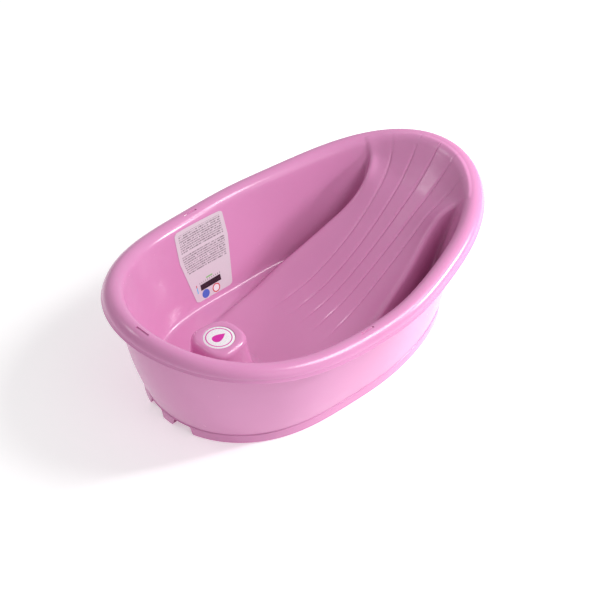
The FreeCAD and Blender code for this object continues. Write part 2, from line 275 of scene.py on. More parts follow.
def ring_faces(first: int, second: int, count: int) -> list[tuple[int, ...]]:
    """Quads between two closed rings of points.

    Args:
        first: index of the first ring's first point.
        second: index of the second ring's first point.
        count: points in a ring.

    Returns:
        One quad for each pair of neighbours.
    """
    faces = []
    for index in range(count):
        after = (index + 1) % count
        faces.append((first + index, first + after, second + after, second + index))
    return faces


def rounded_prism(
    name: str,
    corners: list[tuple[float, float]],
    radius: float,
    plane: tuple[Triple, Triple, Triple],
    sweep: Triple,
) -> bpy.types.Object:
    """Closed prism of a polygon with rounded corners.

    Args:
        name: object name.
        corners: polygon corners in the plane of the prism, millimetres.
        radius: corner radius.
        plane: origin, u axis and v axis of the polygon's plane.
        sweep: direction and length of the prism.

    Returns:
        The prism.
    """
    origin, axis_u, axis_v = plane
    ring = []
    count = len(corners)
    for index in range(count):
        corner = np.array(corners[index], float)
        before = np.array(corners[index - 1], float) - corner
        after = np.array(corners[(index + 1) % count], float) - corner
        before /= np.linalg.norm(before)
        after /= np.linalg.norm(after)
        half = math.acos(np.clip(before @ after, -1, 1)) / 2
        reach = radius / math.tan(half)
        start = corner + before * reach
        end = corner + after * reach
        for share in np.linspace(0, 1, 7):
            ring.append((1 - share) ** 2 * start + 2 * share * (1 - share) * corner + share ** 2 * end)
    base = [np.array(origin) + p[0] * np.array(axis_u) + p[1] * np.array(axis_v) for p in ring]
    top = [p + np.array(sweep) for p in base]
    number = len(ring)
    faces = ring_faces(0, number, number)
    faces += [tuple(range(number)), tuple(range(number, 2 * number))]
    made = make_object(name, np.array(base + top), faces, smooth=False)
    face_outwards(made)
    return made


# --------------------------------------------------------------------------
# Materials
# --------------------------------------------------------------------------


class Nodes:
    """Small helper that adds and links shader nodes."""

    def __init__(self, name: str) -> None:
        """Starts a new material with a principled shader."""
        self.material = bpy.data.materials.new(name)
        self.material.use_nodes = True
        self.tree = self.material.node_tree
        self.tree.nodes.clear()
        self.shader = self.add("ShaderNodeBsdfPrincipled")
        output = self.add("ShaderNodeOutputMaterial")
        self.link(self.shader, "BSDF", output, "Surface")

    def add(self, kind: str, **settings: object) -> bpy.types.Node:
        """Adds a node and sets its properties."""
        node = self.tree.nodes.new(kind)
        for key, value in settings.items():
            setattr(node, key, value)
        return node

    def link(self, source: bpy.types.Node, out: str | int, target: bpy.types.Node, into: str | int) -> None:
        """Links one node's output to another's input."""
        self.tree.links.new(source.outputs[out], target.inputs[into])

    def coords(self) -> bpy.types.Node:
        """Texture coordinates, whose caller links the output it needs."""
        return self.add("ShaderNodeTexCoord")

    def noise(self, scale: float, detail: float = 3.0, rough: float = 0.55) -> bpy.types.Node:
        """Noise texture on object coordinates."""
        noise = self.add("ShaderNodeTexNoise")
        noise.inputs["Scale"].default_value = scale
        noise.inputs["Detail"].default_value = detail
        noise.inputs["Roughness"].default_value = rough
        self.link(self.coords(), "Object", noise, "Vector")
        return noise

    def math(self, operation: str, a: object, b: object = 0.0, c: float | None = None) -> bpy.types.Node:
        """Math node whose inputs are numbers, nodes or (node, output) pairs."""
        node = self.add("ShaderNodeMath", operation=operation)
        for index, value in enumerate((a, b, c)):
            if value is None:
                continue
            if isinstance(value, tuple):
                self.link(value[0], value[1], node, index)
            elif isinstance(value, bpy.types.Node):
                self.link(value, 0, node, index)
            else:
                node.inputs[index].default_value = value
        return node

    def mix(self, factor: object, a: object, b: object) -> bpy.types.Node:
        """Colour mix whose inputs are colours, nodes or (node, output) pairs."""
        node = self.add("ShaderNodeMix", data_type="RGBA")
        for index, value in ((0, factor), (6, a), (7, b)):
            if isinstance(value, bpy.types.Node):
                out = 2 if value.bl_idname == "ShaderNodeMix" else 0
                self.link(value, out, node, index)
            elif isinstance(value, tuple) and isinstance(value[0], bpy.types.Node):
                self.link(value[0], value[1], node, index)
            elif isinstance(value, (int, float)):
                node.inputs[index].default_value = value
            else:
                node.inputs[index].default_value = (*value, 1.0)
        return node

    def span(self, source: object, low: float, high: float, to_low: float, to_high: float) -> bpy.types.Node:
        """Maps one range of values to another, clamped."""
        node = self.add("ShaderNodeMapRange")
        if isinstance(source, tuple):
            self.link(source[0], source[1], node, "Value")
        else:
            self.link(source, 0, node, "Value")
        for key, value in (("From Min", low), ("From Max", high), ("To Min", to_low), ("To Max", to_high)):
            node.inputs[key].default_value = value
        return node

    def bump(self, heights: list[tuple[bpy.types.Node, float, float]]) -> None:
        """Chains bump layers into the shader.

        Args:
            heights: (node, strength, distance in metres) for each layer.
        """
        previous = None
        for node, strength, distance in heights:
            layer = self.add("ShaderNodeBump")
            layer.inputs["Strength"].default_value = strength
            layer.inputs["Distance"].default_value = distance
            self.link(node, 0, layer, "Height")
            if previous is not None:
                self.link(previous, "Normal", layer, "Normal")
            previous = layer
        self.link(previous, "Normal", self.shader, "Normal")


@dataclass(frozen=True)
class GlossPlastic:
    """Injection-moulded glossy polypropylene.

    Attributes:
        name: material name.
        colour: body colour, linear.
        shade: slightly deeper colour of its flow marks.
        roughness: lowest roughness.
        subsurface: share of light scattered inside.
    """

    name: str
    colour: tuple[float, float, float]
    shade: tuple[float, float, float]
    roughness: float = 0.2
    subsurface: float = 0.12

    def build(self) -> bpy.types.Material:
        """Builds the material.

        Returns:
            The material.
        """
        nodes = Nodes(self.name)
        cloud = nodes.noise(5.0, 4.0)
        fine = nodes.noise(900.0, 2.0)
        scuff = nodes.noise(60.0, 6.0, 0.7)
        colour = nodes.mix(nodes.span(cloud, 0.35, 0.65, 0.0, 1.0), self.shade, self.colour)
        nodes.link(colour, 2, nodes.shader, "Base Color")
        base = nodes.span(scuff, 0.4, 0.75, self.roughness, self.roughness + 0.09)
        nodes.link(base, 0, nodes.shader, "Roughness")
        shader = nodes.shader
        shader.inputs["IOR"].default_value = 1.49
        shader.inputs["Subsurface Weight"].default_value = self.subsurface
        shader.inputs["Subsurface Radius"].default_value = (0.012, 0.006, 0.009)
        shader.inputs["Subsurface Scale"].default_value = 1.0
        nodes.bump([(scuff, 0.03, 0.0006), (fine, 0.05, 0.00004)])
        return nodes.material


@dataclass(frozen=True)
class SoftRubber:
    """Matt moulded rubber with a fine grain.

    Attributes:
        name: material name.
        colour: body colour, linear.
    """

    name: str
    colour: tuple[float, float, float]

    def build(self) -> bpy.types.Material:
        """Builds the material.

        Returns:
            The material.
        """
        nodes = Nodes(self.name)
        grain = nodes.noise(1400.0, 3.0)
        dust = nodes.noise(80.0, 5.0, 0.7)
        deep = tuple(channel * 0.8 for channel in self.colour)
        colour = nodes.mix(nodes.span(dust, 0.35, 0.7, 0.0, 1.0), deep, self.colour)
        nodes.link(colour, 2, nodes.shader, "Base Color")
        nodes.link(nodes.span(dust, 0.3, 0.7, 0.5, 0.72), 0, nodes.shader, "Roughness")
        nodes.bump([(grain, 0.25, 0.0001)])
        return nodes.material


@dataclass(frozen=True)
class PrintedFilm:
    """Pale film with rows of small grey marks, laid out on the film's own UV map.

    Attributes:
        name: material name.
        paper: film colour, linear.
        ink: ink colour, linear.
        rows: print rows from the film's lower edge to its upper one.
    """

    name: str
    paper: tuple[float, float, float]
    ink: tuple[float, float, float]
    rows: float = 34.0

    def build(self) -> bpy.types.Material:
        """Builds the material.

        Returns:
            The material.
        """
        nodes = Nodes(self.name)
        place = nodes.add("ShaderNodeSeparateXYZ")
        nodes.link(nodes.coords(), "UV", place, 0)
        across = (place, 0)
        up = (place, 1)
        row = nodes.math("FRACT", nodes.math("MULTIPLY", up, self.rows))
        above = nodes.math("GREATER_THAN", row, 0.3)
        below = nodes.math("LESS_THAN", row, 0.86)
        line = nodes.math("MULTIPLY", above, below)
        words = nodes.add("ShaderNodeTexNoise", noise_dimensions="2D")
        words.inputs["Scale"].default_value = 1.0
        words.inputs["Detail"].default_value = 1.0
        step = nodes.add("ShaderNodeCombineXYZ")
        nodes.link(nodes.math("MULTIPLY", across, 95.0), 0, step, 0)
        whole = nodes.math("FLOOR", nodes.math("MULTIPLY", up, self.rows))
        nodes.link(nodes.math("MULTIPLY", whole, 7.31), 0, step, 1)
        nodes.link(step, 0, words, "Vector")
        dash = nodes.span(words, 0.43, 0.5, 0.0, 1.0)
        left = nodes.math("GREATER_THAN", across, 0.07)
        right = nodes.math("LESS_THAN", across, 0.93)
        high = nodes.math("LESS_THAN", up, 0.955)
        block = nodes.math("GREATER_THAN", up, 0.42)
        gap = nodes.math("COMPARE", up, 0.69, 0.012)
        inked = nodes.math("MULTIPLY", line, dash)
        for limit in (left, right, high, block):
            inked = nodes.math("MULTIPLY", inked, limit)
        inked = nodes.math("MULTIPLY", inked, nodes.math("SUBTRACT", 1.0, gap))
        inked = nodes.math("MULTIPLY", inked, 0.72)
        fibre = nodes.noise(300.0, 4.0)
        deep = tuple(channel * 0.88 for channel in self.paper)
        paper = nodes.mix(nodes.span(fibre, 0.3, 0.7, 0.0, 0.25), self.paper, deep)
        nodes.link(nodes.mix(inked, paper, self.ink), 2, nodes.shader, "Base Color")
        nodes.link(nodes.span(fibre, 0.3, 0.7, 0.3, 0.42), 0, nodes.shader, "Roughness")
        nodes.bump([(fibre, 0.06, 0.00005)])
        return nodes.material


@dataclass(frozen=True)
class PrintedInk:
    """Solid printed ink with slight wear.

    Attributes:
        name: material name.
        colour: ink colour, linear.
        roughness: lowest roughness.
    """

    name: str
    colour: tuple[float, float, float]
    roughness: float = 0.3

    def build(self) -> bpy.types.Material:
        """Builds the material.

        Returns:
            The material.
        """
        nodes = Nodes(self.name)
        wear = nodes.noise(420.0, 5.0, 0.7)
        light = tuple(min(1.0, channel * 1.15 + 0.015) for channel in self.colour)
        colour = nodes.mix(nodes.span(wear, 0.45, 0.75, 0.0, 1.0), self.colour, light)
        nodes.link(colour, 2, nodes.shader, "Base Color")
        gloss = nodes.span(wear, 0.3, 0.7, self.roughness, self.roughness + 0.12)
        nodes.link(gloss, 0, nodes.shader, "Roughness")
        nodes.bump([(wear, 0.05, 0.00004)])
        return nodes.material


# --------------------------------------------------------------------------
# Inner moulding
# --------------------------------------------------------------------------

RIM = Outline((315.0, -9.0, 76.55, 5.59, 9.04, 3.41, -0.59), 0.0)
FLOOR = Outline((229.3, -5.2, 64.5, 1.2, 4.2), -30.0)
BASE = Outline((260.6, 9.45, 62.1, 4.92, 5.91, 2.71), -32.1)
RIM_HALF_LENGTH = 400.0


def rim_height(x: Array) -> Array:
    """Height of the nominal rim line along the bath, millimetres."""
    return 193.1 + 51.1 * (x / RIM_HALF_LENGTH) ** 2


@dataclass(frozen=True)
class Crown:
    """Section of the rolled rim, as inset from and rise above the nominal rim line."""

    radius: float = 20.0
    inset: float = 15.4
    drop: float = 16.9
    inner_angle: float = 20.0
    wall: float = 3.0

    def point(self, degrees: float, radius: float) -> tuple[float, float]:
        """Inset and rise of a point of an arc about the crown's centre."""
        turn = math.radians(degrees)
        return self.inset + radius * math.cos(turn), radius * math.sin(turn) - self.drop

    def outside(self) -> list[tuple[float, float]]:
        """Section from just outside the apex down the skirt, round the lip and back up inside."""
        section = [self.point(angle, self.radius) for angle in (97, 105, 114, 123, 132, 141, 149, 156)]
        section += [(-3.5, -10.7), (-4.1, -12.6), (-3.95, -13.0), (-4.35, -13.5), (-4.9, -15.2)]
        section += [(-5.6, -16.6), (-6.3, -17.3), (-6.5, -18.2), (-6.1, -19.0), (-5.2, -19.3)]
        section += [(-4.1, -18.9), (-3.4, -17.6), (-2.2, -13.0)]
        section += [self.point(angle, self.radius - self.wall) for angle in (150, 135, 120, 105)]
        return section


@dataclass(frozen=True)
class Backrest:
    """Reclining seat: x, middle height, crest half width, crest height, pocket edge and power."""

    rows: tuple[tuple[float, ...], ...] = (
        (-150, 11.0, 120, 11.5, 120, 3.0),
        (-94, 17.0, 124, 23.0, 124, 3.0),
        (-49, 22.0, 129, 28.0, 129, 3.0),
        (-6, 25.0, 130, 34.0, 130, 3.0),
        (32, 31.0, 130, 48.0, 130, 3.0),
        (68, 39.0, 125, 65.0, 125, 3.0),
        (104, 52.0, 118, 81.0, 118, 3.0),
        (141, 70.0, 112, 97.0, 112, 3.0),
        (177, 89.0, 106, 114.0, 106, 2.9),
        (211, 110.0, 98, 133.0, 98, 2.8),
        (242, 131.0, 93, 158.0, 93, 2.8),
        (268, 150.0, 94, 188.0, 94, 2.8),
        (288, 164.5, 107, 203.0, 105, 2.6),
        (301, 174.0, 117, 212.0, 117, 2.4),
        (309, 181.0, 120, 218.0, 140, 2.2),
        (316, 187.5, 122, 222.0, 200, 2.0),
        (345, 217.0, 125, 241.0, 240, 1.6),
        (372, 243.0, 122, 252.0, 240, 1.5),
        (410, 243.0, 120, 252.0, 240, 1.5),
    )
    pocket_lean: float = 0.12
    crest_radius: float = 13.0
    groove_x: tuple[float, ...] = (-60.0, -20.0, 50.0, 120.0, 190.0, 260.0, 292.0, 325.0, 345.0, 400.0)
    groove_offsets: tuple[tuple[float, ...], ...] = (
        (0.0,) * 10,
        (34.0, 32.0, 29.0, 27.0, 27.0, 30.0, 33.0, 37.5, 41.0, 50.0),
        (70.0, 67.0, 62.0, 58.0, 57.0, 60.0, 66.0, 80.0, 95.0, 130.0),
    )
    groove_starts: tuple[float, ...] = (-34.0, -36.0, -40.0)
    groove_ends: tuple[float, ...] = (382.0, 384.0, 347.0)
    seat_taper: float = 120.0
    head_taper: float = 12.0
    groove_depth: float = 3.1
    groove_width: float = 2.2

    def column(self, index: int, x: Array) -> Array:
        """One column of the table read along the bath."""
        table = np.array(self.rows, float)
        return smooth_table(table[:, 0], table[:, index], x)

    def groove(self, index: int, x: Array) -> Array:
        """Distance of a groove from the centre line."""
        return smooth_table(np.array(self.groove_x), np.array(self.groove_offsets[index]), x)

    def surface(self, x: Array, y: Array) -> Array:
        """Height of the trough, grooves included.

        Args:
            x: plan positions, millimetres.
            y: plan positions, millimetres.

        Returns:
            Heights, millimetres.
        """
        middle = self.column(1, x)
        crest = self.column(3, x)
        share = np.abs(y) / self.column(2, x)
        height = middle + (crest - middle) * np.minimum(share, 1.3) ** self.column(5, x)
        for index, (start, end) in enumerate(zip(self.groove_starts, self.groove_ends)):
            offset = self.groove(index, x)
            slope = (self.groove(index, x + 1.0) - self.groove(index, x - 1.0)) / 2.0
            apart = np.abs(np.abs(y) - offset) / np.sqrt(1.0 + slope * slope)
            taper = ease((x - start) / self.seat_taper) * ease((end - x) / self.head_taper)
            height = height - taper * self.groove_depth * np.exp(-(apart / self.groove_width) ** 2)
        return height


@dataclass
class Bowl:
    """Plan positions with what the inner surface needs there, and a solver for its height.

    Attributes:
        x: positions along the bath, millimetres.
        y: positions across the bath, millimetres.
        crown: section of the rolled rim.
        backrest: reclining seat.
        floor_top: height of the floor.
        floor_fillet: rounding between floor and wall.
        seat_fillet: rounding between seat and wall.
        head_fillet: extra rounding at the head end.
        head_start: where the extra rounding starts, and how far it takes to grow.
        rim_margin: inset within which the seat gives way to the rim, and how gently.
        heights: lowest and highest height that the solver tries.
        halvings: steps of the solver.
    """

    x: Array
    y: Array
    crown: Crown = field(default_factory=Crown)
    backrest: Backrest = field(default_factory=Backrest)
    floor_top: float = 14.0
    floor_fillet: float = 9.0
    seat_fillet: float = 7.0
    head_fillet: float = 13.0
    head_start: tuple[float, float] = (285.0, 50.0)
    rim_margin: tuple[float, float] = (27.0, 5.0)
    heights: tuple[float, float] = (2.0, 275.0)
    halvings: int = 30

    def __post_init__(self) -> None:
        """Measures every position against the outlines and the seat table."""
        x, y = self.x, np.abs(self.y)
        self.inset, nearest = RIM.inward(x, y)
        outside, _ = FLOOR.inward(x, y)
        inner_inset, inner_rise = self.crown.point(self.crown.inner_angle, self.crown.radius)
        rim = rim_height(nearest)
        self.crown_centre = rim - self.crown.drop
        self.wall_top = rim + inner_rise
        self.under_crown = self.inset < inner_inset
        width = np.maximum((self.inset - inner_inset) - outside, 5.0)
        fall = self.wall_top - self.floor_top
        self.wall = self.wall_top - (self.inset - inner_inset) / width * fall
        self.wall_lean = width / np.hypot(width, fall)
        seat = self.backrest
        self.seat = seat.surface(x, y)
        slope_x = (seat.surface(x + 1, y) - seat.surface(x - 1, y)) / 2
        slope_y = (seat.surface(x, y + 1) - seat.surface(x, y - 1)) / 2
        self.seat_lean = 1 / np.sqrt(1 + slope_x ** 2 + slope_y ** 2)
        self.edge = seat.column(4, x)
        self.crest = seat.column(3, x)
        edge_slope = (seat.column(4, x + 1) - seat.column(4, x - 1)) / 2
        self.edge_lean = 1 / np.sqrt(1 + edge_slope ** 2 + seat.pocket_lean ** 2)

    def air(self, z: Array) -> Array:
        """Distance from the moulding at a height over each position, negative inside it."""
        above = np.maximum(z - self.crown_centre, 0.0)
        crown = np.hypot(self.inset - self.crown.inset, above) - self.crown.radius
        wall = (z - self.wall) * self.wall_lean
        bowl = np.where(self.under_crown | (z > self.wall_top), crown, wall)
        bowl = blend_low(bowl, z - self.floor_top, self.floor_fillet)
        side_edge = self.edge + self.backrest.pocket_lean * (self.crest - z)
        side = (np.abs(self.y) - side_edge) * self.edge_lean
        seat = blend_high((z - self.seat) * self.seat_lean, side, self.backrest.crest_radius)
        margin, softness = self.rim_margin
        seat = seat + np.maximum(margin - self.inset, 0.0) ** 2 / softness
        start, run = self.head_start
        fillet = self.seat_fillet + self.head_fillet * ease((self.x - start) / run)
        return blend_low(bowl, seat, fillet)

    def height(self) -> Array:
        """Height of the inner surface over each position, millimetres."""
        low = np.full(self.x.shape, self.heights[0])
        high = np.full(self.x.shape, self.heights[1])
        for _ in range(self.halvings):
            middle = (low + high) / 2
            inside = self.air(middle) < 0
            low = np.where(inside, middle, low)
            high = np.where(inside, high, middle)
        return (low + high) / 2


@dataclass
class Basin:
    """Inner moulding: floor, walls, backrest, pockets and rolled rim.

    Attributes:
        stations: cross rows from head to foot.
        zone_counts: columns in each zone of a half row.
        under_count: columns of a half row of the underside.
        under_low: lowest height of the underside.
        crown: section of the rolled rim.
        slot_length: length of a rim slot.
        slot_width: width of a rim slot.
        slot_corner: corner radius of a rim slot.
        slot_inset: distance of a slot inwards from the rim's edge.
        slot_floor: height of a slot's floor over the rim line.
        slot_clear: how far a slot's cutter reaches upwards.
        side_slot_x: where the two side slots are.
    """

    stations: int = 340
    zone_counts: tuple[int, ...] = (36, 8, 10, 4, 10, 3, 5)
    under_count: int = 22
    under_low: float = 11.0
    crown: Crown = field(default_factory=Crown)
    slot_length: float = 31.0
    slot_width: float = 4.6
    slot_corner: float = 1.7
    slot_inset: float = 18.0
    slot_floor: float = 0.3
    slot_clear: float = 24.0
    side_slot_x: float = -73.0

    def rows(self) -> tuple[Array, Array]:
        """Angles of the cross rows along the crown's apex, and their end points.

        Returns:
            Angles and one x, y for each.
        """
        angles = RIM.even_angles(self.stations + 1, self.crown.inset)
        return angles, RIM.points(angles, self.crown.inset)

    def landmarks(self, x: Array, reach: Array) -> Array:
        """Distances from the centre line at which the zones of a row meet.

        Args:
            x: place of each row.
            reach: half width of each row.

        Returns:
            One row of falling distances for each x.
        """
        seat = Backrest()
        foot = ease((-90.0 - x) / 120.0)
        edge = np.where(x < -90.0, 124.0, seat.column(4, x))
        edge = edge * (1 - 0.35 * foot)
        edge = np.minimum(edge, reach * 0.86)
        outer = np.minimum(seat.groove(2, np.clip(x, -60, 400)), edge * 0.72)
        inner = np.minimum(seat.groove(1, np.clip(x, -60, 400)), outer * 0.62)
        half = np.minimum(5.0, inner * 0.3)
        zero = np.zeros_like(x)
        marks = [reach, edge, outer + half, outer - half, inner + half, inner - half, half, zero]
        return np.stack(marks, -1)

    def across(self, x: Array, reach: Array) -> Array:
        """Half-row positions from the rim to the centre line, close where the surface bends.

        Args:
            x: place of each row.
            reach: half width of each row.

        Returns:
            One row of falling distances for each x.
        """
        marks = self.landmarks(x, reach)
        trial = 150
        share = np.linspace(0, 1, trial)
        outer = marks[:, :1] + (marks[:, 1:2] - marks[:, :1]) * share[None]
        bowl = Bowl(np.repeat(x, trial), outer.ravel())
        height = bowl.height().reshape(len(x), trial)
        run_y = np.diff(outer, axis=1)
        run_z = np.diff(height, axis=1)
        turn = np.arctan2(run_z, np.abs(run_y) + 1e-9)
        bend = np.abs(np.diff(turn, axis=1, prepend=turn[:, :1]))
        weight = np.hypot(run_y, run_z) + 26.0 * bend + 0.02
        kernel = np.hanning(9)
        kernel /= kernel.sum()
        padded = np.pad(weight, ((6, 6), (4, 4)), mode="edge")
        smooth = np.apply_along_axis(lambda line: np.convolve(line, kernel, "valid"), 1, padded)
        smooth = np.stack([smooth[i:i + len(x)] for i in range(13)]).mean(0)
        total = np.concatenate([np.zeros((len(x), 1)), np.cumsum(smooth, axis=1)], axis=1)
        counts = self.zone_counts
        rows = []
        for index in range(len(x)):
            goal = np.linspace(0, total[index, -1], counts[0], endpoint=False)
            first = np.interp(goal, total[index], outer[index])
            parts = [first]
            for zone in range(1, len(counts)):
                start, end = marks[index, zone], marks[index, zone + 1]
                parts.append(np.linspace(start, end, counts[zone], endpoint=False))
            parts.append([0.0])
            rows.append(np.concatenate(parts))
        return np.array(rows)

    def sheet(self, x: Array, half: Array) -> Array:
        """Points of full rows on the inner surface.

        Args:
            x: place of each row.
            half: falling distances from the centre line for each row.

        Returns:
            Rows of points from +Y to -Y.
        """
        number = half.shape[1]
        height = Bowl(np.repeat(x, number), half.ravel()).height().reshape(len(x), number)
        plus = np.stack([np.repeat(x[:, None], number, 1), half, height], -1)
        minus = plus[:, -2::-1].copy()
        minus[:, :, 1] *= -1
        return np.concatenate([plus, minus], 1)

    def shell(self) -> bpy.types.Object:
        """Builds the shell with its even wall.

        Returns:
            The shell, without slots.
        """
        angles, ends = self.rows()
        x = ends[1:-1, 0]
        reach = ends[1:-1, 1]
        half = self.across(x, reach)
        top = self.sheet(x, half)
        pole_height = rim_height(RIM.points(angles)[[0, -1], 0]) - self.crown.drop + self.crown.radius
        poles = np.column_stack([ends[[0, -1]], pole_height])
        points: list[Array] = [poles, top.reshape(-1, 3)]
        wide = top.shape[1]
        rows = len(x)
        faces: list[tuple[int, ...]] = []

        def grid(start: int, count: int, width: int, head: int, foot: int, flip: bool) -> None:
            """Faces of a sheet of rows that closes on a pole at each end."""
            for row in range(count - 1):
                for column in range(width - 1):
                    a = start + row * width + column
                    quad = (a, a + 1, a + width + 1, a + width)
                    faces.append(quad[::-1] if flip else quad)
            for pole, row in ((head, 0), (foot, count - 1)):
                for column in range(width - 1):
                    a = start + row * width + column
                    triangle = (pole, a + 1, a)
                    if (row == 0) == flip:
                        triangle = triangle[::-1]
                    faces.append(triangle)

        grid(2, rows, wide, 0, 1, True)
        # Boundary loop: head pole, +Y side, foot pole, -Y side back to the head.
        loop = [0] + [2 + row * wide for row in range(rows)] + [1]
        loop += [2 + row * wide + wide - 1 for row in range(rows - 1, -1, -1)]
        number = len(loop)
        full = np.concatenate([angles, -angles[-2:0:-1]])
        base = 2 + rows * wide
        section = self.crown.outside()
        for inset, rise in section:
            plan = RIM.points(full, inset)
            z = rim_height(RIM.points(full)[:, 0]) + rise
            points.append(np.column_stack([plan, z]))
        previous = loop
        for index in range(len(section)):
            ring = [base + index * number + place for place in range(number)]
            for place in range(number):
                after = (place + 1) % number
                faces.append((previous[place], previous[after], ring[after], ring[place]))
            previous = ring
        # Underside, one wall thickness below the inner surface.
        under_start = base + len(section) * number
        pick = np.unique(np.round(np.linspace(0, half.shape[1] - 1, self.under_count)).astype(int))
        normal = self.sheet_normals(top, poles)
        columns = np.concatenate([pick, (wide - 1 - pick[:-1])[::-1]])
        under = (top - self.crown.wall * normal)[:, columns]
        under[:, :, 2] = np.maximum(under[:, :, 2], self.under_low)
        under[:, [0, -1]] = top[:, [0, -1]] - np.array([0, 0, self.crown.wall])
        under_poles = poles - np.array([0, 0, self.crown.wall])
        points += [under_poles, under.reshape(-1, 3)]
        width = len(columns)
        first = under_start + 2
        grid(first, rows, width, under_start, under_start + 1, False)
        under_loop = [under_start] + [first + row * width for row in range(rows)] + [under_start + 1]
        under_loop += [first + row * width + width - 1 for row in range(rows - 1, -1, -1)]
        for place in range(number):
            after = (place + 1) % number
            faces.append((previous[place], previous[after], under_loop[after], under_loop[place]))
        made = make_object("basin_shell", np.concatenate(points), faces)
        return made

    def sheet_normals(self, top: Array, poles: Array) -> Array:
        """Upward normals of a sheet of rows.

        Args:
            top: rows of points.
            poles: the two end points.

        Returns:
            One unit normal for each point.
        """
        wide = top.shape[1]
        head = np.repeat(poles[:1][None], wide, 1)
        foot = np.repeat(poles[1:][None], wide, 1)
        tall = np.concatenate([head, top, foot])
        along = tall[2:] - tall[:-2]
        side = np.gradient(top, axis=1)
        normal = np.cross(along, side)
        normal /= np.linalg.norm(normal, axis=-1)[..., None] + 1e-12
        return normal * np.where(normal[..., 2:] < 0, -1.0, 1.0)

    def slots(self) -> list[bpy.types.Object]:
        """Cutters of the three slots through the rim."""
        places = [(-RIM_HALF_LENGTH + self.slot_inset, 0.0, True)]
        line = RIM.points(np.linspace(2.6, 0.5, 200), self.slot_inset)
        side_y = float(np.interp(self.side_slot_x, line[:, 0], line[:, 1]))
        places += [(self.side_slot_x, side_y, False), (self.side_slot_x, -side_y, False)]
        cutters = []
        for x, y, turned in places:
            long, short = self.slot_length / 2, self.slot_width / 2
            half_x, half_y = (short, long) if turned else (long, short)
            corners = [
                (x - half_x, y - half_y),
                (x + half_x, y - half_y),
                (x + half_x, y + half_y),
                (x - half_x, y + half_y),
            ]
            nearest = -RIM_HALF_LENGTH if turned else x
            low = float(rim_height(np.array(nearest))) + self.slot_floor
            frame = ((0.0, 0.0, low), (1.0, 0.0, 0.0), (0.0, 1.0, 0.0))
            sweep = (0.0, 0.0, self.slot_clear)
            cutters.append(rounded_prism("slot_cutter", corners, self.slot_corner, frame, sweep))
        return cutters

    def build(self, plastic: bpy.types.Material) -> bpy.types.Object:
        """Builds and dresses the moulding.

        Args:
            plastic: its material.

        Returns:
            The finished piece.
        """
        shell = self.shell()
        face_outwards(shell)
        cut_away(shell, self.slots())
        shell.data.materials.clear()
        shell.data.materials.append(plastic)
        sharpen(shell, 50)
        return shell


@dataclass
class CrotchPost:
    """Post that rises from the floor, with a round recess in its top.

    Attributes:
        centre_x: centre of its plan.
        terms: cosine terms of its plan radius near the top.
        flare: height and how far the foot of the post spreads.
    """

    centre_x: float = -212.0
    terms: tuple[float, ...] = (47.4, -1.3, 0.0, 1.7, -2.6)
    around: int = 144
    flare: tuple[tuple[float, float], ...] = (
        (13.2, 36.0), (14.3, 31.0), (16.0, 26.0), (19.0, 21.5), (24.0, 17.0), (32.0, 12.5), (45.0, 8.5),
        (60.0, 5.6), (78.0, 3.2), (95.0, 1.2), (106.0, 0.2),
    )
    top: float = 121.9
    edge_radius: float = 11.0
    badge_x: float = -213.6
    recess_radius: float = 29.3
    recess_floor: float = 119.8

    def plan(self, spread: float, lean: float = 0.5) -> Array:
        """Plan points, spread outwards, more towards the seat.

        Args:
            spread: distance outwards.
            lean: how much more it spreads towards the seat.

        Returns:
            One row of x, y for each angle.
        """
        angles = np.linspace(0, 2 * math.pi, self.around, endpoint=False)
        radius = sum(term * np.cos(order * angles) for order, term in enumerate(self.terms))
        grow = spread * (1 + lean * np.cos(angles)) if spread > 0 else spread
        radius = radius + grow
        return np.column_stack([self.centre_x + radius * np.cos(angles), radius * np.sin(angles)])

    def build(self, plastic: bpy.types.Material) -> bpy.types.Object:
        """Builds the closed post.

        Args:
            plastic: its material.

        Returns:
            The piece.
        """
        rings = []
        for height, spread in self.flare:
            rings.append((self.plan(spread), height))
        shoulder = self.top - self.edge_radius
        for degrees in (8, 18, 28, 38, 48, 58, 68, 78, 86):
            turn = math.radians(degrees)
            inset = self.edge_radius * (1 - math.cos(turn))
            rings.append((self.plan(-inset), shoulder + self.edge_radius * math.sin(turn)))
        angles = np.linspace(0, 2 * math.pi, self.around, endpoint=False)

        def circle(radius: float) -> Array:
            """Points round the badge's centre."""
            return np.column_stack([self.badge_x + radius * np.cos(angles), radius * np.sin(angles)])

        inner = self.plan(-self.edge_radius)
        for share, rise in ((0.4, 0.1), (0.8, 0.12), (1.0, 0.05)):
            rings.append((inner + (circle(self.recess_radius + 0.7) - inner) * share, self.top + rise))
        edge = ((0.35, self.top - 0.1), (0.05, self.top - 0.45), (0.0, self.recess_floor + 0.3))
        for radius, height in edge:
            rings.append((circle(self.recess_radius + radius), height))
        for radius in (self.recess_radius - 0.4, 20.0, 8.0):
            rings.append((circle(radius), self.recess_floor))
        points = [np.column_stack([plan, np.full(self.around, height)]) for plan, height in rings]
        faces = []
        for index in range(len(rings) - 1):
            faces += ring_faces(index * self.around, (index + 1) * self.around, self.around)
        last = (len(rings) - 1) * self.around
        faces.append(tuple(range(last, last + self.around)))
        faces.append(tuple(range(self.around)))
        made = make_object("crotch_post", np.concatenate(points), faces)
        face_outwards(made)
        made.data.materials.append(plastic)
        sharpen(made, 50)
        return made


